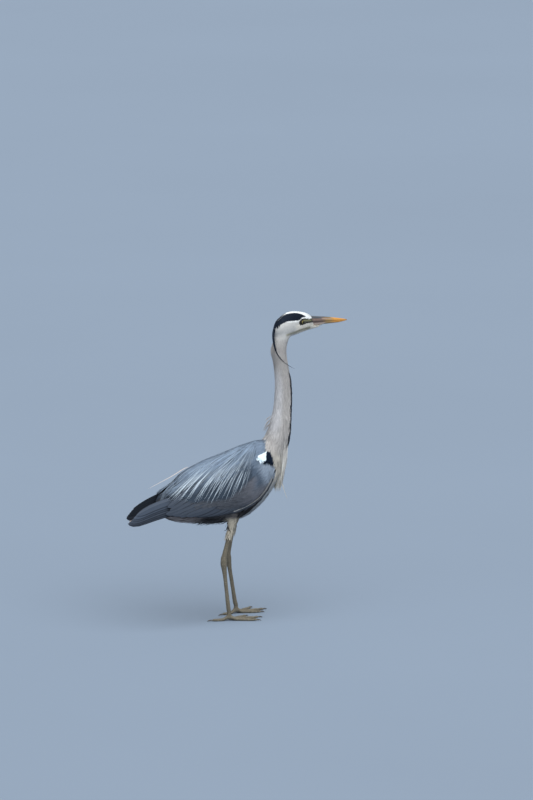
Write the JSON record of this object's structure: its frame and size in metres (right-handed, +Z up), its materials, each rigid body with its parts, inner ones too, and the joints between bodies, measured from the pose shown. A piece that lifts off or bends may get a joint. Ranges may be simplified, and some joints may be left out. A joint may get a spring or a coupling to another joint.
{
  "type": "grey heron",
  "caption": "Adult grey heron in a slow walk, neck raised in a soft curve, dagger bill level, crest plumes hanging on the neck, long legs and spread toes.",
  "frame": {"origin": "on the floor, under the middle of the bird's outline", "axes": "+X ahead along the body, towards the bill; +Y to the bird's left; +Z up"},
  "size_m": [0.6714, 0.1636, 0.7924],
  "materials": {
    "body_plumage": "soft matte feathers, white below and black along the flank",
    "wing_plumage": "matte blue-grey feathers with silver-white plumes",
    "tail_feathers": "matte slate-grey vanes",
    "quill_feathers": "slate-black flight feathers with a slight sheen",
    "head_plumage": "short sleek white feathers with a blue-black stripe",
    "neck_plumage": "soft pale grey feathers, long whitish plumes at the breast",
    "crest_feathers": "narrow glossy black plumes",
    "bill_horn": "smooth horn, orange towards the tip, dusky blue-grey at the base",
    "leg_skin": "dull scaly skin, brownish grey",
    "claw_horn": "dark horn",
    "eye": "wet, yellow iris round a black pupil"
  },
  "bodies": {
    "root": {"back_plume": "wing_plumage", "bill_lower": "bill_horn", "bill_upper": "bill_horn", "breast_plume_long": "neck_plumage", "breast_plumes": "neck_plumage", "claw_hind_left": "claw_horn", "claw_hind_right": "claw_horn", "claw_inner_left": "claw_horn", "claw_inner_right": "claw_horn", "claw_middle_left": "claw_horn", "claw_middle_right": "claw_horn", "claw_outer_left": "claw_horn", "claw_outer_right": "claw_horn", "crest_plume_long": "crest_feathers", "crest_plume_short": "crest_feathers", "eye_left": "eye", "eye_right": "eye", "foot_left": "leg_skin", "foot_right": "leg_skin", "head": "head_plumage", "neck_lower": "neck_plumage", "neck_middle": "neck_plumage", "neck_upper": "neck_plumage", "shank_left": "leg_skin", "shank_right": "leg_skin", "tail": "tail_feathers", "thigh_left": "body_plumage", "thigh_right": "body_plumage", "trunk": "body_plumage", "wing_left": "wing_plumage", "wing_right": "wing_plumage", "wing_tip_left": "quill_feathers", "wing_tip_right": "quill_feathers"}
  },
  "joints": []
}
